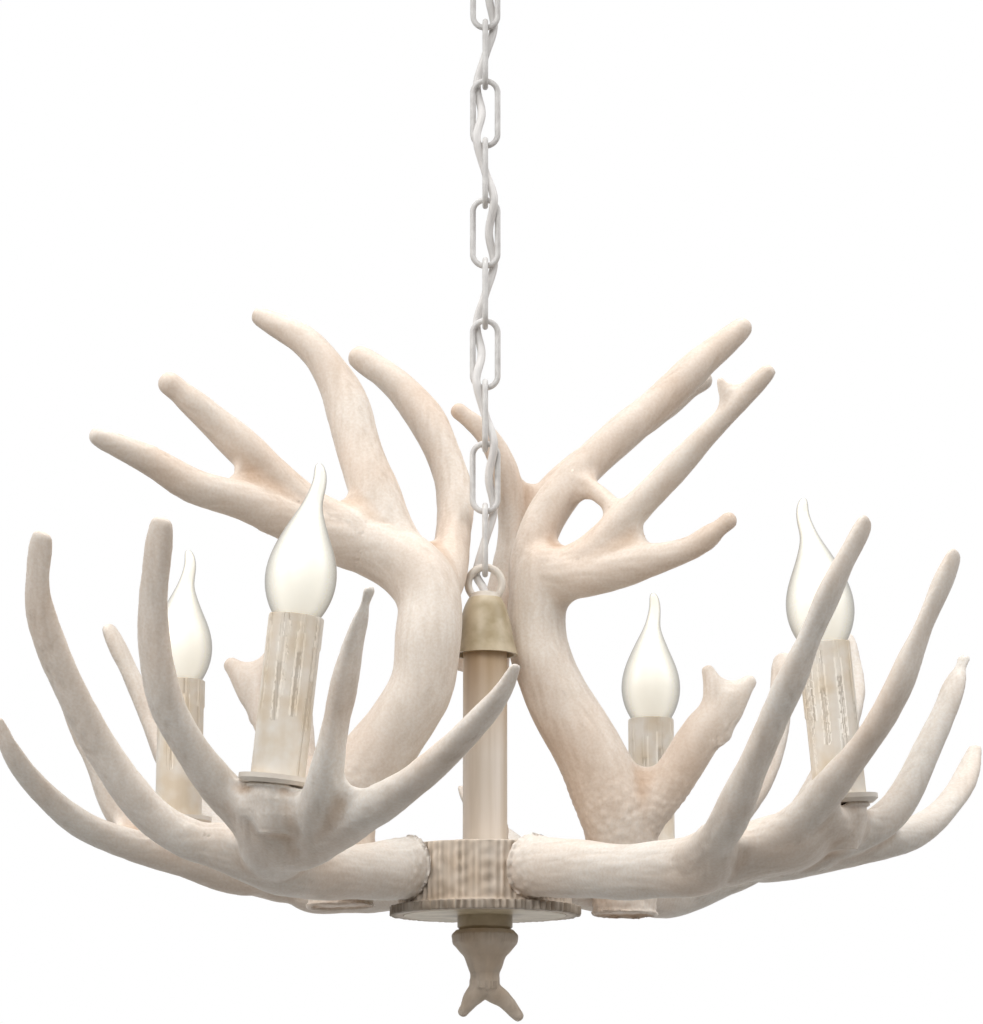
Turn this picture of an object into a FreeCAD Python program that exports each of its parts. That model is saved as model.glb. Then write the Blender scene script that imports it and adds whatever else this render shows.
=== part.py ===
# White resin antler chandelier with four candle lights, hung on a link chain.
# Units are millimetres. The origin is in the ceiling plane, on the centre line of the canopy.
# +X is right and +Y is away from the viewer, +Z is up, so the whole light hangs below z = 0.
import math
import os

import FreeCAD, Part

V = FreeCAD.Vector
UP = V(0, 0, 1)

# ---- driving dimensions -------------------------------------------------
fit_gap = 0.05                     # clearance of screwed and slid-on pieces, per side
play = 0.15                        # play between two hooked links

# ceiling plate and canopy
bar_length = 100.0
bar_width = 18.0
bar_thick = 2.5
bar_drop = 20.5                    # ceiling to the lowest face of the bent bar
bar_foot = 18.0                    # length of each foot that lies on the ceiling
bolt_spacing = 84.0                # two ceiling bolts
bolt_hole_r = 2.6
canopy_r = 59.0
canopy_depth = 44.0
canopy_wall = 1.5
canopy_flat_r = 13.5
nipple_r = 5.0                     # M10 hollow stud and hollow rod
nipple_bore_r = 3.1
nipple_top = -13.0
nut_height = 4.0
nut_flat = 14.0                    # across flats
collar_r = 12.5
collar_height = 8.0
loop_neck_r = 7.5
loop_neck_h = 12.0
block_size = (16.0, 16.0, 14.0)    # terminal block
block_x = 20.0

# chain
link_count = 10
link_wire = 3.5
link_width = 18.5                  # outside
link_inside = 38.0                 # inside length, also the pitch
ring_r = 10.0                      # middle radius of the two loops
ring_wire = 4.5
cable_r = 2.5
cable_span = 4                     # points of the cable's way in each swept span
weave_mid = 2.2                    # how far off the centre line the cable crosses a link
weave_side = 7.4                   # how far off the centre line it passes a hooked pair

# column, bell cap and hub, heights from the top face of the hub
column_r = 13.0
column_wall = 1.5
cap_top_h = 147.5
cap_height = 34.0
cap_top_r = 9.6
cap_bottom_r = 19.2
cap_wall = 2.0
cap_crown = 19.5                   # solid top of the cap, above the end of the column tube
hub_r = 50.0
hub_lip_r = 56.0
hub_lip_h = 5.5
hub_height = 39.5
hub_wall = 6.0
cover_r = 47.0
cover_thick = 3.0
boss_r = 16.0
boss_height = 8.0
finial_r = 19.5
finial_waist_r = 8.5
finial_height = 52.0
rod_nut_h = 8.0
rod_nut_flat = 17.0

# lamps
seat_radius = 223.0                # candles stand on a circle of this radius
seat_h = 13.0                      # underside of the drip cups above the hub top
seat_boss_r = 14.0
cup_r = 20.5
cup_base = 2.0
cup_rim = 4.5
sleeve_r = 15.0
sleeve_wall = 1.5
sleeve_h = 88.0
holder_r = 12.6
holder_len = 42.0
holder_below = 9.0                 # holder mouth below the sleeve's top edge
holder_stem_r = 5.0
holder_stem_into = 10.0            # stem screwed into the antler
socket_r = 7.1
socket_depth = 24.0
bulb_cap_r = 6.9                   # E14
bulb_cap_len = 22.0
glass_wall = 1.0
seat_clear = 0.6                   # spot face around each drip cup, per side

screw_r = 3.0                      # M6 screws that hold the antlers
screw_head_r = 5.0
screw_head_h = 4.0
screw_in = 16.0
head_clear = 0.4                   # flat screw head off the hub's curved inner wall
burr_h = -14.0                     # centre of the lower antlers' burr ends
burr_out = 41.0
burr_side = -24.0
foot_x = 82.0                      # sawn ends of the side upper antlers, beside the lower beams
foot_y = 29.0
foot_h = -37.0
foot_screw_h = -16.0
foot_screw_turn = 140.0            # direction of the right foot's screw, degrees from +X
foot_screw_len = 49.0
palm_in = 63.0                     # seat circle to the middle of each lower antler's palm

# ---- heights worked out from the pieces above -----------------------------
link_r = link_wire / 2
cap_bottom_h = cap_top_h - cap_height
cap_seat_h = cap_top_h - cap_crown
ring_t = ring_wire / 2
top_loop_z = -canopy_depth - collar_height - loop_neck_h - ring_r + 2.0
link_top_z = top_loop_z - ring_r + ring_t + play
link_pitch = link_inside - play
body_loop_z = link_top_z - link_inside - (link_count - 1) * link_pitch - ring_r + ring_t + play
body_loop_h = cap_top_h + 8.5
hub_top_z = body_loop_z - body_loop_h


def link_centre(k):
    return link_top_z - link_inside / 2 - (k - 1) * link_pitch


# ---- small helpers ----------------------------------------------------------
def cyl(r, z0, z1, x=0.0, y=0.0):
    return Part.makeCylinder(r, z1 - z0, V(x, y, z0), UP)


def tube(r, bore, z0, z1):
    return cyl(r, z0, z1).cut(cyl(bore, z0 - 1, z1 + 1))


def box(x0, x1, y0, y1, z0, z1):
    return Part.makeBox(x1 - x0, y1 - y0, z1 - z0, V(x0, y0, z0))


def hexagon(flat, z0, z1):
    r = flat / math.sqrt(3)
    pts = [V(r * math.cos(math.radians(60 * i)), r * math.sin(math.radians(60 * i)), z0) for i in range(7)]
    return Part.Face(Part.makePolygon(pts)).extrude(V(0, 0, z1 - z0))


def turned(points):
    """Solid of revolution about Z from (radius, z) points joined by straight lines."""
    pts = [V(r, 0, z) for r, z in points]
    pts.append(pts[0])
    return Part.Face(Part.makePolygon(pts)).revolve(V(0, 0, 0), UP, 360)


def round_section(centre, direction, r):
    return Part.Wire([Part.makeCircle(r, centre, direction)])


def smooth_path(points, steps):
    """Points on an even curve through the given (x, y, z, radius) points."""
    first = [2 * a - b for a, b in zip(points[0], points[1])]
    last = [2 * a - b for a, b in zip(points[-1], points[-2])]
    p = [first] + [list(q) for q in points] + [last]
    out = []
    for i in range(1, len(p) - 2):
        for s in range(steps):
            t = s / steps
            out.append([smooth_value(p[i - 1][n], p[i][n], p[i + 1][n], p[i + 2][n], t) for n in range(4)])
    out.append(list(points[-1]))
    return out


def smooth_value(a, b, c, d, t):
    return 0.5 * (2 * b + (c - a) * t + (2 * a - 5 * b + 4 * c - d) * t * t + (3 * b - a - 3 * c + d) * t ** 3)


def ring_wire_at(centre, way, start, r, flat=1.0):
    """Ring square to way, of half width r on the side that start points to and r * flat across it."""
    x = (start - way * start.dot(way)).normalize()
    y = way.cross(x)
    turn = FreeCAD.Matrix(x.x, y.x, way.x, centre.x, x.y, y.y, way.y, centre.y, x.z, y.z, way.z, centre.z, 0, 0, 0, 1)
    ring = Part.makeCircle(r)
    if flat < 0.999:
        ring = Part.Ellipse(V(0, 0, 0), r, r * flat).toShape()
    ring.Placement = FreeCAD.Placement(turn)
    return Part.Wire([ring]), x


def horn(points, wide=None, tip_flat=1.0):
    """One beam or tine: a tapering, curved bar with a domed end. It is round at its root and, where
    wide is given, flattens towards its tip, staying broad in that direction."""
    path = smooth_path(points, 2)
    wires = []
    seam = V(0.3, 0.2, 1.0)
    for i, q in enumerate(path):
        a = path[max(i - 1, 0)]
        b = path[min(i + 1, len(path) - 1)]
        way = V(b[0] - a[0], b[1] - a[1], b[2] - a[2]).normalize()
        if i == 0 and abs(way.z) > 0.8:
            seam = V(1.0, 0.3, 0.2)
        flat = 0.99 + (tip_flat - 0.99) * i / (len(path) - 1) if wide else 1.0
        wire, seam = ring_wire_at(V(q[0], q[1], q[2]), way, wide or seam, q[3], flat)
        wires.append(wire)
    end = path[-1]
    for step, size in ((0.5, 0.87), (0.8, 0.6), (0.95, 0.3)):
        tip = V(end[0], end[1], end[2]) + way * (end[3] * step * (0.4 + 0.6 * tip_flat))
        wire, seam = ring_wire_at(tip, way, wide or seam, end[3] * size, tip_flat)
        wires.append(wire)
    return Part.makeLoft(wires, True, False)


def fused(shapes):
    return shapes[0].multiFuse(shapes[1:]).removeSplitter()


# ---- ceiling pieces -----------------------------------------------------------
def mounting_crossbar():
    half = bar_length / 2
    w = bar_width / 2
    web = half - bar_foot
    bar = box(-web, web, -w, w, -bar_drop, -bar_drop + bar_thick)
    for side in (-1, 1):
        foot = box(web, half, -w, w, -bar_thick, 0)
        riser = box(web - bar_thick, web, -w, w, -bar_drop, 0)
        both = foot.fuse(riser)
        if side < 0:
            both.rotate(V(0, 0, 0), UP, 180)
        bar = bar.fuse(both)
    bar = bar.cut(cyl(nipple_r + fit_gap, -bar_drop - 1, -bar_drop + bar_thick + 1))
    bar = bar.cut(cyl(1.5 + fit_gap, -bar_drop - 1, -bar_drop + bar_thick + 1, block_x, 0))
    for side in (-1, 1):
        bar = bar.cut(cyl(bolt_hole_r, -bar_thick - 1, 1, side * bolt_spacing / 2, 0))
    return bar.removeSplitter()


def canopy_profile(offset):
    r = canopy_r - offset
    z = -canopy_depth + offset
    return [(r, 0), (r, -6), (r * 0.9, z * 0.36), (r * 0.66, z * 0.66), (r * 0.42, z * 0.88), (canopy_flat_r, z)]


def canopy():
    shapes = []
    for offset in (0.0, canopy_wall):
        pts = [V(r, 0, z) for r, z in canopy_profile(offset)]
        curve = Part.BSplineCurve()
        curve.interpolate(pts[1:])
        edges = [Part.makeLine(V(0, 0, 0), pts[0]), Part.makeLine(pts[0], pts[1]), curve.toShape()]
        edges += [Part.makeLine(pts[-1], V(0, 0, pts[-1].z)), Part.makeLine(V(0, 0, pts[-1].z), V(0, 0, 0))]
        shapes.append(Part.Face(Part.Wire(edges)).revolve(V(0, 0, 0), UP, 360))
    return shapes[0].cut(shapes[1]).cut(cyl(nipple_r + fit_gap, -canopy_depth - 1, 0))


def hanger_nipple():
    return tube(nipple_r, nipple_bore_r, -canopy_depth - collar_height - loop_neck_h + 3, nipple_top)


def nipple_nut(z0):
    return hexagon(nut_flat, z0, z0 + nut_height).cut(cyl(nipple_r + fit_gap, z0 - 1, z0 + nut_height + 1))


def nipple_nuts():
    upper = nipple_nut(-bar_drop + bar_thick)
    lower = nipple_nut(-bar_drop - nut_height)
    return Part.makeCompound([upper, lower])


def screw_collar():
    z1 = -canopy_depth
    z0 = z1 - collar_height
    c = collar_r
    ring = turned([(nipple_r + fit_gap, z0), (c - 2, z0), (c, z0 + 2), (c, z1 - 1), (c - 1, z1), (nipple_r + fit_gap, z1)])
    for i in range(24):
        a = math.radians(15 * i)
        ring = ring.cut(cyl(0.5, z0 + 2.5, z1 - 1.5, (c + 0.15) * math.cos(a), (c + 0.15) * math.sin(a)))
    return ring


def canopy_loop():
    z1 = -canopy_depth - collar_height
    ring = Part.makeTorus(ring_r, ring_t, V(0, 0, top_loop_z), V(1, 0, 0))
    neck = turned([(0, z1), (loop_neck_r, z1), (loop_neck_r, z1 - 8), (4.5, z1 - loop_neck_h), (0, z1 - loop_neck_h)])
    body = neck.fuse(ring)
    body = body.cut(cyl(nipple_r + fit_gap, z1 - loop_neck_h + 3 - fit_gap, z1 + 1))
    return body.cut(cyl(nipple_bore_r, top_loop_z, z1)).removeSplitter()


def terminal_block():
    lx, ly, lz = block_size
    z0 = -bar_drop + bar_thick
    body = box(block_x - lx / 2, block_x + lx / 2, -ly / 2, ly / 2, z0, z0 + lz)
    body = body.cut(cyl(1.5 + fit_gap, z0 - 1, z0 + lz + 1, block_x, 0))
    body = body.cut(cyl(3.2, z0 + lz - 3, z0 + lz + 1, block_x, 0))
    edge = block_x - lx / 2
    entry = Part.makeCylinder(cable_r + 3 * fit_gap, 4 + 3 * fit_gap, V(edge - 1, 0, cable_turn_z()), V(1, 0, 0))
    return body.cut(entry)


def block_screw():
    z0 = -bar_drop + bar_thick
    top = z0 + block_size[2] - 3
    return cyl(1.5, -bar_drop - 1, top, block_x, 0).fuse(cyl(2.8, top, top + 2, block_x, 0))


# ---- chain and cable ------------------------------------------------------------
def chain_link(k):
    """Odd links face the viewer, even links stand edge on."""
    mid = link_width / 2 - link_r
    straight = link_inside / 2 + link_r - mid
    a = V(-mid, 0, -straight)
    b = V(-mid, 0, straight)
    c = V(mid, 0, straight)
    d = V(mid, 0, -straight)
    top = Part.Arc(b, V(0, 0, straight + mid), c).toShape()
    bottom = Part.Arc(d, V(0, 0, -straight - mid), a).toShape()
    path = Part.Wire([Part.makeLine(a, b), top, Part.makeLine(c, d), bottom])
    link = path.makePipeShell([round_section(V(-mid, 0, 0), UP, link_r)], True, True)
    if k % 2 == 0:
        link.rotate(V(0, 0, 0), UP, 90)
    link.translate(V(0, 0, link_centre(k)))
    return link


def cable_turn_z():
    return nipple_top + 6.0


def cable_path():
    z = cable_turn_z()
    edge = block_x - block_size[0] / 2
    pts = [V(edge + 3, 0, z), V(edge, 0, z), V(9, 0, z), V(5.2, 0, z - 0.6)]
    pts += [V(1.2, 0, z - 3.6), V(0, 0, z - 8)]
    pts += [V(0, 0, -30), V(0, 0, -48), V(0, 0, top_loop_z + ring_r - 2)]
    for step, off in ((5.2, 0.15), (1.2, 1.6), (-4.4, 4.6)):
        pts.append(V(off, -off, top_loop_z + step))
    for j in range(link_count + 1):
        if j > 0:
            mid = math.radians(90 * (j - 1))
            pts.append(V(weave_mid * math.cos(mid), weave_mid * math.sin(mid), link_centre(j)))
        side = math.radians(90 * j - 45)
        hook = link_top_z + link_r / 2 - j * link_pitch
        pts.append(V(weave_side * math.cos(side), weave_side * math.sin(side), hook))
    for step, off in ((4.4, 4.6), (-1.2, 1.6), (-5.2, 0.15)):
        pts.append(V(-off, off, body_loop_z + step))
    neck = body_loop_z - ring_r + 2
    pts += [V(0, 0, neck), V(0, 0, neck - 8), V(0, 0, neck - 20)]
    steps = 8
    for i in range(1, steps + 1):
        pts.append(V(0, 0, neck - 20 + (hub_top_z - neck) * i / steps))
    return pts


def supply_cable():
    """Round cable swept along its way, in spans of a few points each so that it keeps to it closely."""
    curve = Part.BSplineCurve()
    curve.interpolate(cable_path())
    cuts = curve.getKnots()[::cable_span] + [curve.LastParameter]
    spans = [curve.toShape(a, b) for a, b in zip(cuts, cuts[1:]) if b - a > 1e-6]
    start = curve.value(curve.FirstParameter)
    tangent = curve.tangent(curve.FirstParameter)[0]
    return Part.Wire(spans).makePipeShell([round_section(start, tangent, cable_r)], True, False)


# ---- column, cap and hub, drawn from the hub top and then hung in place -----------
def body_loop():
    ring = Part.makeTorus(ring_r, ring_t, V(0, 0, body_loop_h), V(0, 1, 0))
    ring = ring.cut(box(-30, 30, -30, 30, cap_top_h - 20, cap_top_h))
    collar = turned([(0, cap_top_h), (9, cap_top_h), (8.4, cap_top_h + 2.5), (6, cap_top_h + 3.5), (0, cap_top_h + 3.5)])
    stub = cyl(7.0, cap_top_h - 12, cap_top_h + 1)
    body = ring.fuse(collar).fuse(stub)
    body = body.cut(cyl(nipple_r + fit_gap, cap_top_h - 20, cap_top_h - 2))
    return body.cut(cyl(nipple_bore_r, cap_top_h - 5, body_loop_h)).removeSplitter()


def top_cap():
    h = cap_top_h
    low = cap_bottom_h
    outer = [V(cap_top_r, 0, h), V(12.2, 0, h - 0.15 * cap_height), V(14.7, 0, h - 0.41 * cap_height)]
    outer += [V(17.0, 0, h - 0.74 * cap_height), V(cap_bottom_r, 0, low)]
    curve = Part.BSplineCurve()
    curve.interpolate(outer)
    edges = [Part.makeLine(V(0, 0, low), V(0, 0, h)), Part.makeLine(V(0, 0, h), outer[0]), curve.toShape()]
    edges.append(Part.makeLine(outer[-1], V(0, 0, low)))
    bell = Part.Face(Part.Wire(edges)).revolve(V(0, 0, 0), UP, 360)
    hollow = turned([(0, low - 1), (cap_bottom_r - cap_wall, low - 1), (column_r + 0.6, cap_seat_h), (0, cap_seat_h)])
    bell = bell.cut(hollow).cut(cyl(7.0 + fit_gap, h - 12 - fit_gap, h + 1))
    return bell.cut(cyl(nipple_r + fit_gap, low, h))


def column_tube():
    return tube(column_r, column_r - column_wall, 0, cap_seat_h)


def tie_rod():
    return tube(nipple_r, nipple_bore_r, -hub_height - boss_height - 16, cap_top_h - 4)


def rod_nut(h0):
    return hexagon(rod_nut_flat, h0, h0 + rod_nut_h).cut(cyl(nipple_r + fit_gap, h0 - 1, h0 + rod_nut_h + 1))


def rod_nuts():
    upper = rod_nut(-hub_wall - rod_nut_h)
    lower = rod_nut(-hub_height + cover_thick)
    return Part.makeCompound([upper, lower])


def hub():
    body = cyl(hub_r, -hub_height, 0)
    body = body.fuse(cyl(hub_lip_r, -hub_height, -hub_height + hub_lip_h))
    body = body.cut(cyl(hub_r - hub_wall, -hub_height - 1, -hub_wall))
    body = body.cut(cyl(cover_r + fit_gap, -hub_height - 1, -hub_height + cover_thick))
    body = body.cut(cyl(nipple_r + fit_gap, -hub_wall - 1, 1))
    for lamp in lamps:
        body = body.cut(burr_screw_hole(lamp, hub_r - hub_wall - 2, hub_r + 2))
    return body.cut(burr_screw_hole(back_screw, hub_r - hub_wall - 2, hub_r + 2))


def hub_cover():
    plate = cyl(cover_r, -hub_height, -hub_height + cover_thick)
    low = -hub_height - boss_height
    boss = turned([(0, low), (boss_r - 1.5, low), (boss_r, low + 1.5), (boss_r, -hub_height), (0, -hub_height)])
    return plate.fuse(boss).cut(cyl(nipple_r + fit_gap, low - 1, 0)).removeSplitter()


def finial():
    top = -hub_height - boss_height
    pts = [(0, top), (finial_r - 3, top), (finial_r, top - 3), (finial_r - 1, top - 8)]
    pts += [(12.5, top - 15), (finial_waist_r, top - 25), (finial_waist_r, top - 34), (0, top - 36)]
    stem = turned(pts)
    low = top - finial_height + 4
    left = horn([(0, 0, top - 24, 7.5), (-3, -1, top - 34, 6.5), (-8, -2, low + 8, 5.0), (-12.5, -2, low + 1, 3.2)])
    right = horn([(0, 0, top - 24, 7.5), (3, 1, top - 34, 6.5), (11, 2, low + 8, 5.0), (19, 3, low - 1, 3.4)])
    body = stem.fuse(left).fuse(right)
    return body.cut(cyl(nipple_r + fit_gap, top - 16 - fit_gap, top + 1))


# ---- lamp positions: name, azimuth and upward tilt of the antler, seat's side step and lift, candle's leans
lamps = [
    ("front_left", 241.3, 0.0, -2.0, 0.0, 6.0, 2.0),
    ("front_right", 331.3, 0.0, 2.0, 0.0, -5.0, 1.0),
    ("back_right", 61.3, 2.0, 0.0, 0.0, 0.0, 0.0),
    ("back_left", 147.0, 3.5, 6.0, 13.0, 0.0, 0.0),
]


def on_circle(r, azimuth):
    return r * math.cos(math.radians(azimuth)), r * math.sin(math.radians(azimuth))


def antler_to_world(lamp, out, side, up):
    """Point of a lower antler, given outward, sideways and upward from the hub axis."""
    azimuth = math.radians(lamp[1])
    tilt = math.radians(lamp[2])
    flat = out * math.cos(tilt) - up * math.sin(tilt)
    high = out * math.sin(tilt) + up * math.cos(tilt)
    x = flat * math.cos(azimuth) - side * math.sin(azimuth)
    y = flat * math.sin(azimuth) + side * math.cos(azimuth)
    return x, y, high


def seat_point(lamp):
    out = math.sqrt(seat_radius ** 2 - lamp[3] ** 2)
    x, y, high = antler_to_world(lamp, out, lamp[3], 0)
    return V(x, y, seat_h + lamp[4])


def at_seat(shape, lamp):
    """Stand a piece drawn at the origin on its seat, with the candle's lean."""
    shape.rotate(V(0, 0, 0), V(0, 1, 0), lamp[5])
    shape.rotate(V(0, 0, 0), V(1, 0, 0), lamp[6])
    shape.translate(seat_point(lamp))
    return shape


burr_turn = math.degrees(math.atan2(burr_side, burr_out))
back_screw = ("back", 88.0 - burr_turn)


def burr_screw_hole(lamp, r0, r1, r=screw_r + fit_gap):
    turn = lamp[1] + burr_turn
    x, y = on_circle(1, turn)
    return Part.makeCylinder(r, r1 - r0, V(x * r0, y * r0, burr_h), V(x, y, 0))


# ---- lower antlers: one casting, four times -----------------------------------------
# each point is outward, sideways, upward from the middle of the hub top, and the half width there
def bent(points, out_step, side_step, up_step):
    """A tine whose tip is moved by the given steps, and the rest less and less towards its root."""
    last = len(points) - 1
    made = []
    for i, (out, side, up, r) in enumerate(points):
        share = (i / last) ** 2
        made.append((out + out_step * share, side + side_step * share, up + up_step * share, r))
    return made


def casting_branches(name):
    """The beam, the palm under the candle and four tines; on the two back antlers some tines are bent."""
    p = seat_radius - palm_in
    beam = [(burr_out, burr_side, burr_h, 17.5), (80, -32, -19, 16.0), (p - 40, -40, -22, 15.5), (p, -46, -20, 16.0)]
    beam += [(p + 18, -66, -12, 13.0)]
    outer = [(p - 9, -44, -21, 12.5), (p + 17, -68, -13, 12.0), (p + 38, -90, -1, 11.5), (p + 60, -106, 26, 11.0)]
    outer += [(p + 90, -119, 71, 10.0), (p + 114, -122, 114, 8.5), (p + 126, -111, 144, 7.0)]
    second = [(p + 5, -40, -18, 14.0), (p + 43, -29, -4, 13.0), (p + 77, -38, 22, 11.0), (p + 108, -43, 55, 10.0)]
    second += [(p + 126, -39, 94, 9.0), (p + 142, -24, 140, 7.0)]
    third = [(p + 44, 8, -10, 13.0), (p + 78, 36, 10, 10.5), (p + 94, 56, 50, 8.5), (p + 103, 69, 79, 7.5)]
    third.append((p + 108, 80, 102, 4.5))
    fourth = [(p - 5, -50, -19, 13.0), (p + 39, 12, -12, 13.5), (p + 73, 76, 3, 11.5), (p + 83, 117, 25, 9.5)]
    fourth += [(p + 85, 142, 46, 7.5), (p + 86, 152, 60, 4.5)]
    palm = [(p - 2, -44, -20, 15.0), (p + 20, -30, -14, 19.0), (p + 42, -14, -7, 25.0), (p + 57, -6, -1, 24.0)]
    if name == "back_left":
        outer = bent(outer, -36.0, -35.0, 0.0)
        second = bent(second, 8.0, 6.0, 0.0)
    if name == "back_right":
        second = bent(second, 16.0, -30.0, 0.0)
    return beam, palm, outer, second, third, fourth


def casting(name):
    """The branches joined to one solid, pointing along +X. The tines flatten as they rise."""
    beam, palm, outer, second, third, fourth = casting_branches(name)
    across = V(0, 1, 0)
    outward = V(1, 0, 0)
    tines = [horn(outer, across, 0.45), horn(second, across, 0.5), horn(third, outward, 0.45)]
    tines.append(horn(fourth, outward, 0.4))
    return horn(beam).multiFuse([horn(palm, across, 0.45)] + tines)


def seat_boss(lamp):
    """The lug that the drip cup stands on, growing out of the antler's palm."""
    r = seat_boss_r
    lug = turned([(0, -26), (r * 0.45, -26), (r * 0.8, -17), (r, -7), (r, 0), (0, 0)])
    return at_seat(lug, lamp)


def foot_screw(side, r0, r1, r=screw_r + fit_gap):
    """Cylinder along the screw between a side upper antler's foot and the lower beam next to it."""
    x, y = on_circle(side, foot_screw_turn)
    start = V(side * foot_x + x * r0, side * foot_y + y * r0, foot_screw_h)
    return Part.makeCylinder(r, r1 - r0, start, V(x, y, 0))


def lower_antler(lamp):
    body = casting(lamp[0])
    body.rotate(V(0, 0, 0), V(0, 1, 0), -lamp[2])
    body.rotate(V(0, 0, 0), UP, lamp[1])
    body = body.fuse(seat_boss(lamp))
    body = body.cut(cyl(hub_r, -hub_height - 10, 40))
    body = body.cut(cyl(hub_lip_r, -hub_height - 10, -hub_height + hub_lip_h))
    body = body.cut(at_seat(cyl(cup_r + seat_clear, 0, cup_rim + sleeve_h), lamp))
    body = body.cut(at_seat(cyl(holder_stem_r + fit_gap, -holder_stem_into - 1, 1), lamp))
    for side in (1, -1):
        body = body.cut(foot_screw(side, 0, foot_screw_len - screw_in + 5))
    return body.cut(burr_screw_hole(lamp, hub_r - 2, hub_r + screw_in + 1))


# ---- upper antlers: each drawn on its own, x, y, height above the hub top and radius ----
def upper_left():
    beam = [(-foot_x, -foot_y, foot_h, 18.5), (-foot_x, -foot_y, -8, 19.0), (-80, -28, 22, 20.0)]
    beam += [(-64, -27, 49, 20.0), (-50, -29, 67, 19.0), (-37, -33, 90, 18.5), (-33, -34, 117, 19.0)]
    beam += [(-33, -29, 143, 19.0), (-47, -23, 164, 19.5), (-71, -20, 177, 18.0)]
    inner = [(-35, -27, 132, 14.5), (-24, -12, 158, 12.5), (-19, 10, 190, 10.5), (-20, 26, 222, 11.0)]
    inner += [(-34, 38, 262, 11.0), (-54, 46, 288, 10.0), (-77, 52, 307, 7.0)]
    second = [(-48, -22, 164, 16.5), (-62, -14, 199, 15.0), (-75, -4, 238, 14.0), (-86, 4, 274, 12.0)]
    second += [(-107, 10, 305, 9.5), (-136, 16, 324, 6.0)]
    third = [(-71, -20, 177, 17.0), (-103, -30, 192, 15.5), (-131, -42, 219, 11.5), (-158, -52, 243, 10.0)]
    third += [(-183, -60, 263, 7.0)]
    fourth = [(-71, -20, 175, 16.0), (-102, -34, 183, 14.5), (-136, -52, 194, 11.5), (-164, -66, 200, 10.0)]
    fourth += [(-192, -78, 213, 8.5), (-220, -90, 225, 5.5)]
    brow = [(-74, -28, 12, 16.0), (-97, -25, 28, 13.0), (-115, -21, 52, 11.5), (-127, -18, 77, 10.5)]
    brow.append((-134, -16, 94, 9.5))
    return [beam, inner, second, third, fourth, brow] + knobs(-134, -16, 94, -1)


def upper_right():
    beam = [(foot_x, foot_y, foot_h, 18.5), (foot_x, foot_y, -8, 19.5), (79, 26, 20, 22.0), (67, 22, 48, 21.0)]
    beam += [(51, 21, 76, 19.5), (37, 22, 104, 18.0), (31, 24, 126, 17.5), (31, 24, 146, 18.0), (35, 21, 167, 17.0)]
    back = [(31, 23, 140, 15.0), (27, 27, 172, 13.0), (38, 34, 206, 12.0), (64, 42, 239, 11.5)]
    back += [(98, 50, 271, 11.0), (135, 58, 307, 9.5), (159, 62, 329, 6.5)]
    second = [(36, 20, 164, 14.5), (60, 12, 173, 13.0), (84, 4, 196, 10.5), (107, -4, 219, 8.5)]
    second += [(137, -14, 249, 6.8), (167, -24, 279, 4.5)]
    palm = [(35, 21, 158, 15.0), (56, 13, 167, 15.0), (76, 5, 179, 12.0), (90, -1, 183, 7.0)]
    third = [(36, 20, 164, 15.5), (63, 10, 164, 14.0), (92, -2, 169, 11.0), (121, -16, 175, 7.5), (143, -26, 189, 4.5)]
    bridge = [(56, 34, 226, 7.5), (64, 28, 220, 5.5), (73, 17, 210, 5.0), (82, 5, 198, 6.0)]
    knob = [(145.5, -17, 257, 3.5), (144, -17, 263, 4.0), (141.5, -17, 269, 3.6), (139.5, -17, 275, 2.6)]
    brow = [(76, 26, 10, 17.0), (97, 22, 26, 14.0), (114, 17, 48, 12.5), (131, 12, 72, 11.5), (142, 10, 88, 10.0)]
    return [beam, back, second, palm, third, bridge, knob, brow] + knobs(142, 10, 88, 1)


def knobs(x, y, h, side):
    """The two blunt points in which a brow tine ends."""
    inner = [(x - 9 * side, y + 2, h - 23, 9.0), (x - 4 * side, y, h - 8, 9.0), (x - 6 * side, y - 1, h + 6, 8.0)]
    outer = [(x - 7 * side, y + 3, h - 20, 8.4), (x + side, y + 1, h - 7, 8.6), (x + 7 * side, y + 1, h + 4, 8.0)]
    inner.append((x - 10 * side, y - 1, h + 17, 5.0))
    outer.append((x + 14 * side, y + 2, h + 11, 5.0))
    return [inner, outer]


def upper_back():
    beam = [(2, 60, -30, 12.5), (1, 60, 10, 12.5), (0, 56, 50, 12.5), (0, 51, 90, 12.5), (4, 49, 130, 12.5)]
    beam += [(13, 51, 160, 12.5), (18, 52, 182, 12.0)]
    first = [(17, 52, 172, 11.5), (17, 52, 207, 9.0), (11, 50, 238, 8.0), (-1, 48, 259, 7.0), (-16, 46, 272, 5.0)]
    second = [(16, 52, 178, 11.0), (37, 62, 221, 10.0), (71, 76, 254, 9.5), (106, 87, 280, 8.0), (136, 96, 304, 6.5)]
    third = [(2, 49, 118, 10.5), (-20, 74, 132, 9.5), (-34, 98, 143, 8.0), (-42, 118, 154, 6.0)]
    return [beam, first, second, third]


def upper_antler(branches, side, lowers):
    """Side is 1 or -1 for the right and left antler, and 0 for the one screwed to the back of the hub."""
    body = horn(branches[0])
    for branch in branches[1:]:
        body = body.fuse(horn(branch))
    for other in lowers:
        body = body.cut(other)
    if side == 0:
        body = body.cut(cyl(hub_r, -hub_height - 10, 10))
        return body.cut(burr_screw_hole(back_screw, hub_r - 2, hub_r + screw_in - 3))
    body = body.cut(foot_screw(side, -12, foot_screw_len))
    return body.cut(foot_screw(side, -26, -12, screw_head_r + fit_gap))


def hub_screw(place, depth):
    """Screw from inside the hub into an antler's end, its head just off the curved inner wall."""
    under_head = hub_r - hub_wall - head_clear
    shank = burr_screw_hole(place, under_head, hub_r + depth, screw_r)
    return shank.fuse(burr_screw_hole(place, under_head - screw_head_h, under_head, screw_head_r))


def antler_screws():
    return Part.makeCompound([hub_screw(lamp, screw_in) for lamp in lamps])


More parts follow.
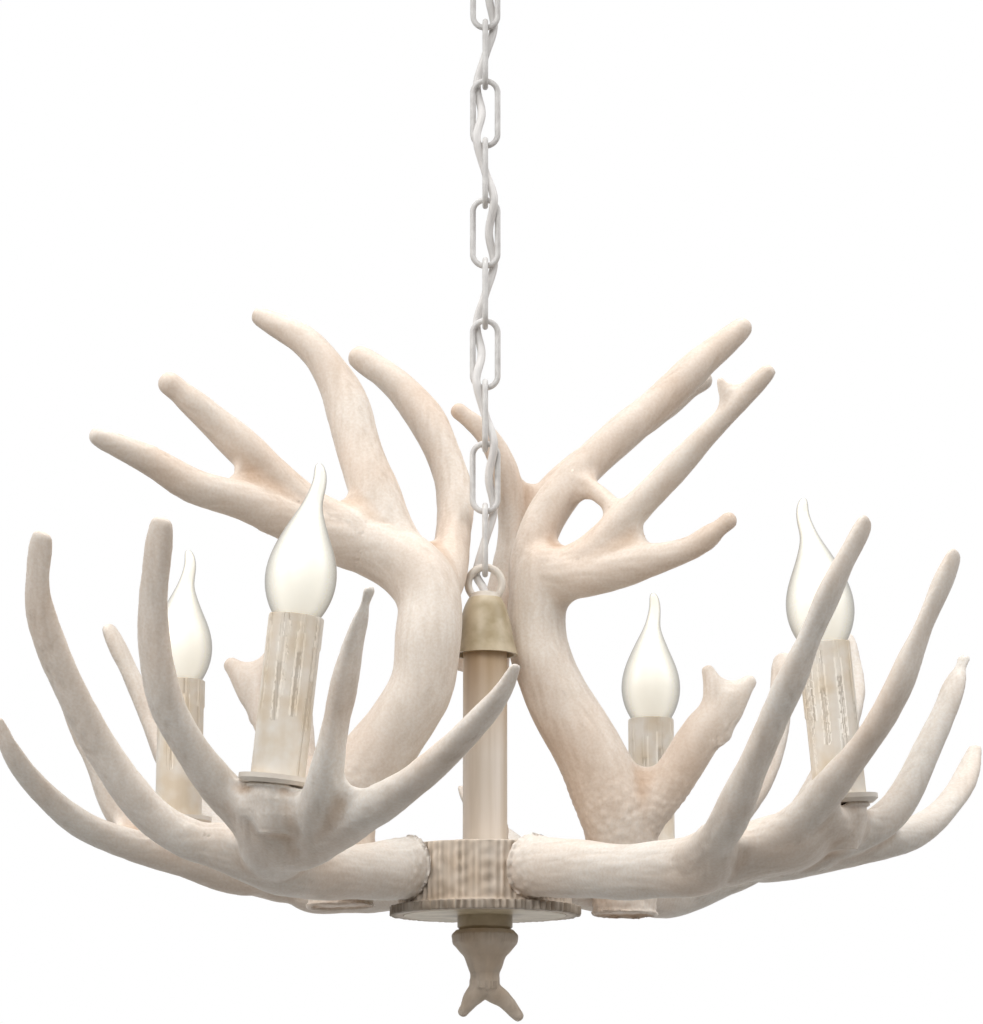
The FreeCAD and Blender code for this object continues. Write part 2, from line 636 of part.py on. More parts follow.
def upper_screws():
    made = [hub_screw(back_screw, screw_in - 4)]
    for side in (1, -1):
        shank = foot_screw(side, -12, foot_screw_len - screw_in + 4, screw_r)
        made.append(shank.fuse(foot_screw(side, -12 - screw_head_h, -12, screw_head_r)))
    return Part.makeCompound(made)


# ---- lamps, drawn standing on the origin and then put on their seats --------------------
def drip_cup():
    pts = [(0, 0), (cup_r - 2.5, 0), (cup_r, 2.0), (cup_r, cup_rim), (cup_r - 1.2, cup_rim)]
    pts += [(cup_r - 2.6, cup_base), (0, cup_base)]
    return turned(pts).cut(cyl(holder_stem_r + fit_gap, -1, cup_base + 1))


def lampholder():
    top = cup_base + sleeve_h - holder_below
    stem = cyl(holder_stem_r, -holder_stem_into, top - holder_len + 1)
    body = cyl(holder_r, top - holder_len, top)
    flange = cyl(holder_stem_r + 4, cup_base, cup_base + 3)
    return stem.fuse(body).fuse(flange).cut(cyl(socket_r, top - socket_depth, top + 1))


def candle_sleeve():
    z0 = cup_base
    z1 = cup_base + sleeve_h
    body = tube(sleeve_r - 0.6, sleeve_r - sleeve_wall, z0, z1)
    for i, drop in enumerate((16, 30, 12, 24, 40, 14, 26, 20, 34)):
        a = math.radians(40 * i + 10)
        r = sleeve_r - 1.9
        run = cyl(1.9, z1 - drop, z1, r * math.cos(a), r * math.sin(a))
        bead = Part.makeSphere(1.9, V(r * math.cos(a), r * math.sin(a), z1 - drop))
        body = body.fuse(run).fuse(bead)
    return body.cut(cyl(sleeve_r - sleeve_wall, z0 - 1, z1 + 1))


def glass_sections(offset):
    """Height above the sleeve top, radius and sideways drift of the flame-shaped glass."""
    rows = [(-8, 8.0, 0), (-3, 10.8, 0), (4, 15.0, 0), (13, 18.2, 0), (21, 19.0, 0), (32, 17.2, 0), (43, 12.9, 0)]
    rows += [(53, 8.4, 0.6), (61, 5.4, 1.8), (69, 4.2, 3.6), (76, 3.5, 4.2), (81, 2.6, 3.4), (83, 1.0, 3.0)]
    if offset > 0:
        rows = [row for row in rows if -7 < row[0] < 72]
    return [round_section(V(x, 0, z), UP, r - offset) for z, r, x in rows]


def bulb_glass(lamp, turn):
    top = cup_base + sleeve_h
    outer = Part.makeLoft(glass_sections(0.0), True, False)
    inner = Part.makeLoft(glass_sections(glass_wall), True, False)
    body = outer.cut(inner)
    body.rotate(V(0, 0, 0), UP, turn)
    body.translate(V(0, 0, top))
    return at_seat(body, lamp)


def bulb_cap():
    mouth = cup_base + sleeve_h - 8
    body = cyl(bulb_cap_r, mouth - bulb_cap_len + 2, mouth)
    contact = cyl(2.5, mouth - bulb_cap_len, mouth - bulb_cap_len + 3)
    return body.fuse(contact)


# ---- build and write ------------------------------------------------------------------------
def hung(shape):
    shape.translate(V(0, 0, hub_top_z))
    return shape


def write(name, shape):
    shape.exportStep("parts/" + name + ".step")
    print(name, "solids", len(shape.Solids), "valid", shape.isValid(), "volume", round(shape.Volume))


os.makedirs("parts", exist_ok=True)

for name, make in (
    ("mounting_crossbar", mounting_crossbar),
    ("canopy", canopy),
    ("hanger_nipple", hanger_nipple),
    ("nipple_nuts", nipple_nuts),
    ("screw_collar", screw_collar),
    ("canopy_loop", canopy_loop),
    ("terminal_block", terminal_block),
    ("block_screw", block_screw),
    ("supply_cable", supply_cable),
):
    write(name, make())

for k in range(1, link_count + 1):
    write("chain_link_%02d" % k, chain_link(k))

for name, make in (
    ("body_loop", body_loop),
    ("top_cap", top_cap),
    ("column_tube", column_tube),
    ("tie_rod", tie_rod),
    ("rod_nuts", rod_nuts),
    ("hub", hub),
    ("hub_cover", hub_cover),
    ("finial", finial),
    ("antler_screws", antler_screws),
    ("upper_screws", upper_screws),
):
    write(name, hung(make()))

lower_shapes = []
for lamp in lamps:
    shape = lower_antler(lamp)
    lower_shapes.append(shape)
    write("lower_antler_" + lamp[0], hung(shape.copy()))

for name, make, side in (
    ("upper_antler_left", upper_left, -1),
    ("upper_antler_right", upper_right, 1),
    ("upper_antler_back", upper_back, 0),
):
    write(name, hung(upper_antler(make(), side, lower_shapes)))

bulb_turns = (20.0, 160.0, 40.0, 10.0)
for lamp, turn in zip(lamps, bulb_turns):
    name = lamp[0]
    write("drip_cup_" + name, hung(at_seat(drip_cup(), lamp)))
    write("lampholder_" + name, hung(at_seat(lampholder(), lamp)))
    write("candle_sleeve_" + name, hung(at_seat(candle_sleeve(), lamp)))
    write("bulb_glass_" + name, hung(bulb_glass(lamp, turn)))
    write("bulb_cap_" + name, hung(at_seat(bulb_cap(), lamp)))

print("hub top at z", round(hub_top_z, 2), "top loop", round(top_loop_z, 2), "body loop", round(body_loop_z, 2))
for k in (1, 9, 10):
    print("link", k, "centre z", round(link_centre(k), 2))
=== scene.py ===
import math

import bpy
import numpy as np
from mathutils import Matrix, Vector


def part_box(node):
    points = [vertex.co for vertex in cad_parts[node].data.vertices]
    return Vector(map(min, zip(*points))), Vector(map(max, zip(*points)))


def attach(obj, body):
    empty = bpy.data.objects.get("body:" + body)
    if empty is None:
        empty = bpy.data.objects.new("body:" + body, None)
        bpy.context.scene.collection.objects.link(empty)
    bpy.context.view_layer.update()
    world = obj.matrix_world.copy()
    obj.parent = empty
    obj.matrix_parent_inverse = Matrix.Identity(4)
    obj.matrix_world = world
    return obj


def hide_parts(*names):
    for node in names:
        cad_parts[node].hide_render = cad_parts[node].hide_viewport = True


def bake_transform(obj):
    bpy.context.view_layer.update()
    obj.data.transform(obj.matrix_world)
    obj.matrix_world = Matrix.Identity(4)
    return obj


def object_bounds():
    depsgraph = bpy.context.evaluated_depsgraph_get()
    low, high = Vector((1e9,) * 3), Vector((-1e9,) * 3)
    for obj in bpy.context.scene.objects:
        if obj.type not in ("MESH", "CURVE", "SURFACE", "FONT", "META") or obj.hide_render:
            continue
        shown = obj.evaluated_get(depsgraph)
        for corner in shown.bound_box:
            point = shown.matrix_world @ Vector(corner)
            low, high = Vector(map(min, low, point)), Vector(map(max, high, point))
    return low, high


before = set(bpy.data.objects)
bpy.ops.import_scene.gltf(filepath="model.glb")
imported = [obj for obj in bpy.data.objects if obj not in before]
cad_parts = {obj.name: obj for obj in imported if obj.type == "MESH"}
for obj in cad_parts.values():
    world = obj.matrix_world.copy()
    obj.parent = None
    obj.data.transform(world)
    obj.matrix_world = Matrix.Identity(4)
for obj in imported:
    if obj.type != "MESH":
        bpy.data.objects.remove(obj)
cad_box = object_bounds()
bpy.ops.object.select_all(action="DESELECT")

# ---- Antlers ---------------------------------------------------------------------
# Seven deer antlers cast in resin and painted a matte cream white: four carry the candles, two are
# screwed to the beams of those and one to the back of the hub. The casting keeps the pearled burr at
# the root, the faint furrows along every tine and the soft webs between the tines.
hub_top_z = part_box("hub")[1].z
hub_radius = 0.050
antler_voxel = 0.0013
web_radius = 0.0060
direction_rounds = 40
furrow_width_rounds = 2
furrow_length_rounds = 36
furrow_depth = 0.00010
lump_size = 0.055
lump_depth = 0.00060
pearl_height = 0.0011
pearl_size = 0.0042
pearl_valley = 0.35
hollow_rounds = 60
hollow_soft_rounds = 10
hollow_depth = 0.0012
beam_pearls_end = 0.024            # past the hub's wall, along the beams
beam_pearls_fade = 0.014
foot_pearls_end = 0.058            # above the hub's top, on the upper antlers
foot_pearls_fade = 0.030
foot_pearls_share = 0.9


def linear(hex_colour):
    """sRGB hex to the linear colour that a shader socket takes."""
    out = []
    for i in (1, 3, 5):
        c = int(hex_colour[i:i + 2], 16) / 255
        out.append(c / 12.92 if c <= 0.04045 else ((c + 0.055) / 1.055) ** 2.4)
    return (*out, 1.0)


def add_node(tree, kind, settings=None, links=None):
    """One shader node: settings go to properties or sockets, links come from (node, output) pairs."""
    node = tree.nodes.new(kind)
    for key, value in (settings or {}).items():
        if isinstance(key, str) and hasattr(node, key):
            setattr(node, key, value)
        else:
            node.inputs[key].default_value = value
    for key, (source, output) in (links or {}).items():
        tree.links.new(source.outputs[output], node.inputs[key])
    return node


def new_material(name):
    material = bpy.data.materials.new(name)
    material.use_nodes = True
    tree = material.node_tree
    tree.nodes.clear()
    return material, tree


def select_only(piece):
    bpy.ops.object.select_all(action="DESELECT")
    piece.select_set(True)
    bpy.context.view_layer.objects.active = piece


def copy_of_node(node, name):
    """A copy of a CAD node's mesh as a closed piece of its own."""
    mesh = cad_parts[node].data.copy()
    mesh.name = name
    piece = bpy.data.objects.new(name, mesh)
    bpy.context.scene.collection.objects.link(piece)
    mesh.materials.clear()
    select_only(piece)
    bpy.ops.object.mode_set(mode="EDIT")
    bpy.ops.mesh.select_all(action="SELECT")
    bpy.ops.mesh.remove_doubles(threshold=0.00001)
    bpy.ops.object.mode_set(mode="OBJECT")
    return piece


def apply_modifier(piece, kind, **settings):
    select_only(piece)
    modifier = piece.modifiers.new(kind.lower(), kind)
    for key, value in settings.items():
        setattr(modifier, key, value)
    bpy.ops.object.modifier_apply(modifier=modifier.name)


def remesh(piece, size):
    select_only(piece)
    piece.data.remesh_voxel_size = size
    piece.data.remesh_voxel_adaptivity = 0.0
    bpy.ops.object.voxel_remesh()


def mesh_arrays(piece):
    mesh = piece.data
    count = len(mesh.vertices)
    co = np.empty(count * 3)
    mesh.vertices.foreach_get("co", co)
    no = np.empty(count * 3)
    mesh.vertex_normals.foreach_get("vector", no)
    edges = np.empty(len(mesh.edges) * 2, dtype=np.int64)
    mesh.edges.foreach_get("vertices", edges)
    return co.reshape(-1, 3), no.reshape(-1, 3), edges.reshape(-1, 2)


def spread(values, edges, weights, rounds):
    """Averages a value over the mesh along its edges, each edge counted by its weight."""
    a, b = edges[:, 0], edges[:, 1]
    count = len(values)
    total = np.bincount(a, weights, count) + np.bincount(b, weights, count) + 1e-6
    for _ in range(rounds):
        passed = np.bincount(a, weights * values[b], count) + np.bincount(b, weights * values[a], count)
        values = 0.5 * values + 0.5 * passed / total
    return values


def along_direction(normals, edges):
    """The direction in which a round bar runs, from how the normals turn around it."""
    ones = np.ones(len(edges))
    parts = {}
    for i in range(3):
        for j in range(i, 3):
            parts[i, j] = spread(normals[:, i] * normals[:, j], edges, ones, direction_rounds)
    tensor = np.empty((len(normals), 3, 3))
    for i in range(3):
        for j in range(3):
            tensor[:, i, j] = parts[min(i, j), max(i, j)]
    return np.linalg.eigh(tensor)[1][:, :, 0]


def furrows(co, normals, edges, seed):
    """A field of fine streaks that run along the tines, about -2 to 2."""
    axis = along_direction(normals, edges)
    step = co[edges[:, 1]] - co[edges[:, 0]]
    step /= np.linalg.norm(step, axis=1)[:, None] + 1e-12
    lined = 0.5 * (np.abs((step * axis[edges[:, 0]]).sum(1)) + np.abs((step * axis[edges[:, 1]]).sum(1)))
    noise = np.random.default_rng(seed).normal(size=len(co))
    noise = spread(noise, edges, np.ones(len(edges)), furrow_width_rounds)
    noise = spread(noise, edges, lined ** 6, furrow_length_rounds)
    return noise / (noise.std() + 1e-9)


def soft_noise(co, size, seed):
    """Slow lumps: ten waves in different directions, about -1 to 1."""
    rng = np.random.default_rng(seed)
    out = np.zeros(len(co))
    for _ in range(10):
        way = rng.normal(size=3)
        way /= np.linalg.norm(way)
        out += np.sin(co @ way * (2 * math.pi / size) * rng.uniform(0.7, 1.5) + rng.uniform(0, 6.28))
    return out / 3.2


def pearls(co, seed):
    """Rounded beads of the burr: bright in the middle of each cell."""
    cell = pearl_size
    base = np.floor(co / cell)
    nearest = np.full(len(co), 9.0)
    for dx in (-1, 0, 1):
        for dy in (-1, 0, 1):
            for dz in (-1, 0, 1):
                corner = base + (dx, dy, dz)
                mix = corner @ np.array([127.1, 311.7, 74.7]) + seed
                jitter = np.stack([np.sin(mix) * 43758.5, np.sin(mix + 1.7) * 24634.6,
                                   np.sin(mix + 3.1) * 35412.9], 1)
                jitter -= np.floor(jitter)
                nearest = np.minimum(nearest, np.linalg.norm(co / cell - corner - jitter, axis=1))
    return np.clip(1 - nearest, 0, 1) ** 1.2


def hollows(co, normals, edges):
    """How far each point lies below the smoothed surface around it: forks near 1, ridges near -1."""
    ones = np.ones(len(edges))
    flat = np.stack([spread(co[:, n], edges, ones, hollow_rounds) for n in range(3)], 1)
    depth = ((flat - co) * normals).sum(1)
    return np.clip(spread(depth, edges, ones, hollow_soft_rounds) / hollow_depth + 0.35, -1, 1)


def antler_piece(node, name, pearl_share, seed):
    """Cast antler: webs between the tines, furrows, lumps and the pearled root."""
    piece = copy_of_node(node, name)
    apply_modifier(piece, "DISPLACE", strength=web_radius, mid_level=0.0)
    remesh(piece, antler_voxel)
    apply_modifier(piece, "DISPLACE", strength=-web_radius, mid_level=0.0)
    apply_modifier(piece, "SMOOTH", factor=0.6, iterations=6)
    remesh(piece, antler_voxel)
    apply_modifier(piece, "SMOOTH", factor=0.5, iterations=4)
    co, normals, edges = mesh_arrays(piece)
    grain = furrows(co, normals, edges, seed)
    lumps = soft_noise(co, lump_size, seed + 1)
    hollow = hollows(co, normals, edges)
    rough = pearl_share(co)
    beads = pearls(co, seed + 2)
    push = (furrow_depth * grain * (1 - 0.5 * rough) + lump_depth * lumps
            + pearl_height * rough * (beads - pearl_valley))
    co = co + normals * push[:, None]
    piece.data.vertices.foreach_set("co", co.ravel())
    # Colour values: furrow darkens the grooves and the dips between the burr's beads, hollow the forks, as
    # painted shade.
    looks = {"furrow": 0.5 + 0.05 * grain * (1 - rough) + 0.30 * rough * (beads - 0.5), "hollow": hollow}
    for key, values in looks.items():
        attribute = piece.data.attributes.new(key, "FLOAT", "POINT")
        attribute.data.foreach_set("value", values.astype(np.float32))
    piece.data.update()
    select_only(piece)
    bpy.ops.object.shade_smooth()
    return piece


def lower_root(co):
    """1 on the burr beside the hub, 0 further out along the beam."""
    out = np.hypot(co[:, 0], co[:, 1])
    return np.clip((hub_radius + beam_pearls_end - out) / beam_pearls_fade, 0, 1)


def upper_root(co):
    """1 on the foot of an upper antler, 0 further up."""
    high = co[:, 2] - hub_top_z
    return np.clip((foot_pearls_end - high) / foot_pearls_fade, 0, 1) * foot_pearls_share


def mottled(tree, size_mm, dark, light, stretch=(1.0, 1.0, 1.0), spread_from=0.35, spread_to=0.65):
    """Soft noise between two colours; returns the noise and the coloured ramp."""
    place = add_node(tree, "ShaderNodeTexCoord")
    drawn = add_node(tree, "ShaderNodeMapping", {"Scale": stretch}, {"Vector": (place, "Object")})
    noise = add_node(tree, "ShaderNodeTexNoise", {"Scale": 1000 / size_mm, "Detail": 3.0, "Roughness": 0.5},
                     {"Vector": (drawn, "Vector")})
    ramp = add_node(tree, "ShaderNodeValToRGB", None, {"Fac": (noise, "Fac")})
    ramp.color_ramp.elements[0].position = spread_from
    ramp.color_ramp.elements[0].color = linear(dark)
    ramp.color_ramp.elements[1].position = spread_to
    ramp.color_ramp.elements[1].color = linear(light)
    return noise, ramp


# A Mix node with these settings multiplies the colours on its inputs 6 and 7; its output is 2.
multiply = {"data_type": "RGBA", "blend_type": "MULTIPLY", 0: 1.0}


def resin_paint(name, light, shade):
    """Matte paint over cast resin: cream white with faint warm clouds, browner in forks, furrows and between
    the burr's beads as painted shade.
    """
    material, tree = new_material(name)
    # The furrow value makes the paint browner in the grooves and between the burr's beads: painted shade.
    furrow_value = add_node(tree, "ShaderNodeAttribute", {"attribute_name": "furrow"})
    furrow_shade_ramp = add_node(tree, "ShaderNodeValToRGB", None, {"Fac": (furrow_value, "Fac")})
    furrow_shade_ramp.color_ramp.elements[0].position = 0.10
    furrow_shade_ramp.color_ramp.elements[0].color = linear(shade)
    furrow_shade_ramp.color_ramp.elements[1].position = 0.55
    furrow_shade_ramp.color_ramp.elements[1].color = linear(light)
    # The hollow value makes the paint browner in the forks between the tines: painted shade.
    hollow_value = add_node(tree, "ShaderNodeAttribute", {"attribute_name": "hollow"})
    fork_shade_ramp = add_node(tree, "ShaderNodeValToRGB", None, {"Fac": (hollow_value, "Fac")})
    fork_shade_ramp.color_ramp.elements[0].position = 0.30
    fork_shade_ramp.color_ramp.elements[0].color = linear("#ffffff")
    fork_shade_ramp.color_ramp.elements[1].position = 1.0
    fork_shade_ramp.color_ramp.elements[1].color = linear("#e3d2c1")
    cloud_ramp = mottled(tree, 70, "#f5ebe3", "#ffffff")[1]
    grit, grit_ramp = mottled(tree, 1.6, "#f7f3ee", "#ffffff")
    groove_and_fork_shade = add_node(tree, "ShaderNodeMix", multiply, {6: (furrow_shade_ramp, "Color"), 7: (fork_shade_ramp, "Color")})
    cloudy = add_node(tree, "ShaderNodeMix", multiply, {6: (groove_and_fork_shade, 2), 7: (cloud_ramp, "Color")})
    grained = add_node(tree, "ShaderNodeMix", multiply, {6: (cloudy, 2), 7: (grit_ramp, "Color")})
    bump = add_node(tree, "ShaderNodeBump", {"Strength": 0.10, "Distance": 0.0005},
                    {"Height": (grit, "Fac")})
    shader = add_node(tree, "ShaderNodeBsdfPrincipled", {"Roughness": 0.52, "IOR": 1.47},
                      {"Normal": (bump, "Normal"), "Base Color": (grained, 2)})
    add_node(tree, "ShaderNodeOutputMaterial", None, {"Surface": (shader, "BSDF")})
    return material


def finish_piece(piece, material, body, node):
    """Paints a new piece and puts it on its body in place of the CAD node."""
    piece.data.materials.clear()
    piece.data.materials.append(material)
    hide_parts(node)
    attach(piece, body)


lower_resin = resin_paint("grey_white_painted_resin", "#ebe6df", "#c9bfb3")
upper_resin = resin_paint("cream_painted_resin", "#efe6dc", "#d1c2b2")

lamp_names = ("front_left", "front_right", "back_right", "back_left")
for seed, lamp in enumerate(lamp_names):
    antler = antler_piece("lower_antler_" + lamp, "antler_" + lamp, lower_root, 10 + 7 * seed)
    finish_piece(antler, lower_resin, "light", "lower_antler_" + lamp)

for seed, side in enumerate(("left", "right", "back")):
    antler = antler_piece("upper_antler_" + side, "antler_upper_" + side, upper_root, 60 + 7 * seed)
    finish_piece(antler, upper_resin, "light", "upper_antler_" + side)

# ---- Hub and finial --------------------------------------------------------------
# The hub is a resin drum cast to look like a piece of bark, with fine upright reeds and a ragged lip.
# The forked finial below it is a small antler tip cast with a collar. The tie rod holds both.
hub_voxel = 0.0010
reed_depth = 0.00055
reed_counts = ((58, 0.5), (71, 0.9), (84, 0.8), (23, 0.5), (113, 0.4))   # waves around, and their share
reed_full_r = 0.045                # the reeds are shallower nearer to the axis than this
chip_size = 0.009
chip_depth = 0.0002
lip_start_r = 0.0505
lip_fade = 0.004
lip_notch = 0.035                  # share of the radius
lip_notch_most = 0.08
hub_outside_r = 0.046              # the bored inside of the hub stays smooth
hub_outside_fade = 0.003


def bark_flutes(co, seed):
    """Fine upright reeds around Z, no two alike, that fade in and out a little."""
    rng = np.random.default_rng(seed)
    angle = np.arctan2(co[:, 1], co[:, 0])
    out = np.zeros(len(co))
    for waves, share in reed_counts:
        out += share * np.sin(waves * angle + rng.uniform(0, 6.28))
    return out / 1.9 * (1 + 0.3 * np.sin(co[:, 2] * 260 + 5 * angle))


def bark_piece(node, name, seed, reach):
    """Cast bark: upright reeds and small chips where reach is 1, and a ragged lip."""
    piece = copy_of_node(node, name)
    remesh(piece, hub_voxel)
    apply_modifier(piece, "SMOOTH", factor=0.5, iterations=4)
    co, normals, edges = mesh_arrays(piece)
    side = 1 - np.abs(normals[:, 2])
    flutes = bark_flutes(co, seed) * np.clip(np.hypot(co[:, 0], co[:, 1]) / reed_full_r, 0.25, 1)
    chips = soft_noise(co, chip_size, seed + 1)
    outside = reach(co)
    push = outside * (side * reed_depth * flutes + chip_depth * chips * (0.4 + side))
    co = co + normals * push[:, None]
    radius = np.hypot(co[:, 0], co[:, 1])
    lip = np.clip((radius - lip_start_r) / lip_fade, 0, 1)
    notches = lip_notch + lip_notch * bark_flutes(co * (1, 1, 0), seed + 2)
    ragged = 1 - lip * np.clip(notches, 0, lip_notch_most)
    co[:, :2] *= ragged[:, None]
    piece.data.vertices.foreach_set("co", co.ravel())
    # The furrow value darkens the paint in the reed grooves as painted shade, and over the ragged lip.
    depth = piece.data.attributes.new("furrow", "FLOAT", "POINT")
    value = 0.50 + outside * (0.16 * side * flutes + 0.03 * chips) - 0.28 * lip
    depth.data.foreach_set("value", value.astype(np.float32))
    piece.data.update()
    select_only(piece)
    bpy.ops.object.shade_smooth()
    return piece


# The same matte paint on bark, warmer and greyer in the reed grooves as painted shade, and darker over the
# ragged lip.
bark, tree = new_material("beige_painted_bark_resin")
furrow_value = add_node(tree, "ShaderNodeAttribute", {"attribute_name": "furrow"})
bark_shade_and_tone_ramp = add_node(tree, "ShaderNodeValToRGB", None, {"Fac": (furrow_value, "Fac")})
bark_shade_and_tone_ramp.color_ramp.elements[0].position = 0.10
bark_shade_and_tone_ramp.color_ramp.elements[0].color = linear("#988e82")
bark_shade_and_tone_ramp.color_ramp.elements[1].position = 0.62
bark_shade_and_tone_ramp.color_ramp.elements[1].color = linear("#e8ddd0")
bark_clouds = mottled(tree, 30, "#e9dfd3", "#ffffff")[1]
bark_colour = add_node(tree, "ShaderNodeMix", multiply, {6: (bark_shade_and_tone_ramp, "Color"), 7: (bark_clouds, "Color")})
bark_shader = add_node(tree, "ShaderNodeBsdfPrincipled", {"Roughness": 0.60, "IOR": 1.47},
                       {"Base Color": (bark_colour, 2)})
add_node(tree, "ShaderNodeOutputMaterial", None, {"Surface": (bark_shader, "BSDF")})


def hub_outside(co):
    return np.clip((np.hypot(co[:, 0], co[:, 1]) - hub_outside_r) / hub_outside_fade, 0, 1)


def all_over(co):
    return np.ones(len(co))


hub = bark_piece("hub", "bark_hub", 5, hub_outside)
finish_piece(hub, bark, "light", "hub")
finial = bark_piece("finial", "forked_finial", 6, all_over)
finish_piece(finial, bark, "light", "finial")

# ---- Column, bell cap, cover and loops ------------------------------------------
# The steel column tube, the spun cap over its top, the cover plate under the hub, the canopy and the
# two cast loops for the chain are painted cream; the cap is a darker beige, and painted shade darkens the
# tube's top below it.
shade_length_below_cap = 0.060
sharp_edge = math.radians(35)


def dress_node(node, material, smooth_below=None):
    """Paints a CAD node that keeps its own mesh; edges up to smooth_below are shaded smooth."""
    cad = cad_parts[node]
    if smooth_below is not None:
        select_only(cad)
        bpy.ops.object.shade_smooth_by_angle(angle=smooth_below)
    cad.data.materials.clear()
    cad.data.materials.append(material)


def painted_steel(name, light, dark, grain_mm, roughness, stretch=(1.0, 1.0, 1.0)):
    """Brushed paint on steel: faint clouds of colour and a very fine orange peel."""
    material, tree = new_material(name)
    ramp = mottled(tree, grain_mm, dark, light, stretch)[1]
    peel = mottled(tree, 0.9, dark, light)[0]
    bump = add_node(tree, "ShaderNodeBump", {"Strength": 0.06, "Distance": 0.0003},
                    {"Height": (peel, "Fac")})
    shader = add_node(tree, "ShaderNodeBsdfPrincipled", {"Roughness": roughness, "IOR": 1.5},
                      {"Base Color": (ramp, "Color"), "Normal": (bump, "Normal")})
    add_node(tree, "ShaderNodeOutputMaterial", None, {"Surface": (shader, "BSDF")})
    return material, tree, ramp, shader


# Smooth stoving enamel: an even cream white with a soft sheen.
enamel = painted_steel("cream_enamelled_steel", "#e9e2d8", "#ddd3c6", 20, 0.40)[0]

# The tube's paint: upright streaks, and painted shade that darkens it to brown beige over the last stretch
# below the cap.
streaked, tree, ramp, shader = painted_steel("streaked_cream_paint", "#e8ded3", "#d3c6b6", 9, 0.46,
                                             (1.0, 1.0, 0.06))
cap_edge_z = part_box("top_cap")[0].z
place = add_node(tree, "ShaderNodeTexCoord")
apart = add_node(tree, "ShaderNodeSeparateXYZ", None, {"Vector": (place, "Object")})
# The painted shade below the cap: white further down, brown beige at the cap's edge.
cap_shade_fade = add_node(tree, "ShaderNodeMapRange", {"From Min": cap_edge_z - shade_length_below_cap, "From Max": cap_edge_z},
                {"Value": (apart, "Z")})
cap_shade_ramp = add_node(tree, "ShaderNodeValToRGB", None, {"Fac": (cap_shade_fade, "Result")})
cap_shade_ramp.color_ramp.elements[0].color = linear("#ffffff")
cap_shade_ramp.color_ramp.elements[1].color = linear("#d9c4a6")
cap_shaded_colour = add_node(tree, "ShaderNodeMix", multiply, {6: (ramp, "Color"), 7: (cap_shade_ramp, "Color")})
tree.links.new(cap_shaded_colour.outputs[2], shader.inputs["Base Color"])

# The cap's darker beige brown paint with cloudy wear.
cap_paint = painted_steel("beige_brown_painted_cap", "#cabb9f", "#a89777", 14, 0.42)[0]

for node, paint in (("column_tube", streaked), ("top_cap", cap_paint), ("hub_cover", cap_paint),
                    ("body_loop", enamel), ("canopy_loop", enamel), ("canopy", enamel),
                    ("screw_collar", enamel)):
    dress_node(node, paint, sharp_edge)

# Zinc plated steel: hidden rods, nuts and screws, drawn and slightly blotchy.
zinc, tree = new_material("zinc_plated_steel")
zinc_ramp = mottled(tree, 4, "#a7abb0", "#c6c9cc", (1.0, 1.0, 0.3))[1]
zinc_shader = add_node(tree, "ShaderNodeBsdfPrincipled", {"Roughness": 0.35, "Metallic": 1.0},
                       {"Base Color": (zinc_ramp, "Color")})
add_node(tree, "ShaderNodeOutputMaterial", None, {"Surface": (zinc_shader, "BSDF")})
for node in ("mounting_crossbar", "hanger_nipple", "nipple_nuts", "block_screw", "tie_rod", "rod_nuts",
             "antler_screws", "upper_screws"):
    dress_node(node, zinc)

# ---- Chain -----------------------------------------------------------------------
# Ten oval links bent from round steel wire, welded shut and painted white. Each is turned a quarter
# from the last and hooked into it; the first hangs in the canopy's loop and the last holds the body's.
link_count = 10
link_wire = 0.0035
link_segments = 40
link_names = ["chain_link_%02d" % k for k in range(1, link_count + 1)]
first_low, first_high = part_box(link_names[0])
link_middle_r = (first_high.x - first_low.x - link_wire) / 2
link_straight = (first_high.z - first_low.z - link_wire) / 2 - link_middle_r

# A ring turned by half a segment, so that no point lies on the cut, and then drawn out to an oval.
half_segment = math.radians(180 / link_segments)
bpy.ops.mesh.primitive_torus_add(major_radius=link_middle_r, minor_radius=link_wire / 2,
                                 major_segments=link_segments, minor_segments=16,
                                 rotation=(math.radians(90), half_segment, 0))
pattern_link = bpy.context.object
pattern_link.name = "link_pattern"
bpy.ops.object.transform_apply(location=True, rotation=True, scale=True)
for way in (1, -1):
    bpy.ops.object.mode_set(mode="EDIT")
    bpy.ops.mesh.select_mode(type="VERT")
    bpy.ops.mesh.select_all(action="DESELECT")
    bpy.ops.object.mode_set(mode="OBJECT")
    for vertex in pattern_link.data.vertices:
        vertex.select = vertex.co.z * way > 0
    bpy.ops.object.mode_set(mode="EDIT")
    bpy.ops.transform.translate(value=(0, 0, way * link_straight))
    bpy.ops.object.mode_set(mode="OBJECT")
bpy.ops.object.shade_smooth()

# White paint on the wire, thin and a little grey.
chain_paint = painted_steel("white_painted_steel_wire", "#dbd9d6", "#c9c6c3", 6, 0.36)[0]

for k, node in enumerate(link_names):
    low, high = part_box(node)
    link = bpy.data.objects.new("link_%02d" % (k + 1), pattern_link.data.copy())
    bpy.context.scene.collection.objects.link(link)
    if k % 2 == 1:
        link.data.transform(Matrix.Rotation(math.radians(90), 4, "Z"))
    link.data.transform(Matrix.Translation((low + high) / 2))
    body = "top_link" if k == 0 else "bottom_link" if k == link_count - 1 else "chain"
    finish_piece(link, chain_paint, body, node)
bpy.data.objects.remove(pattern_link)

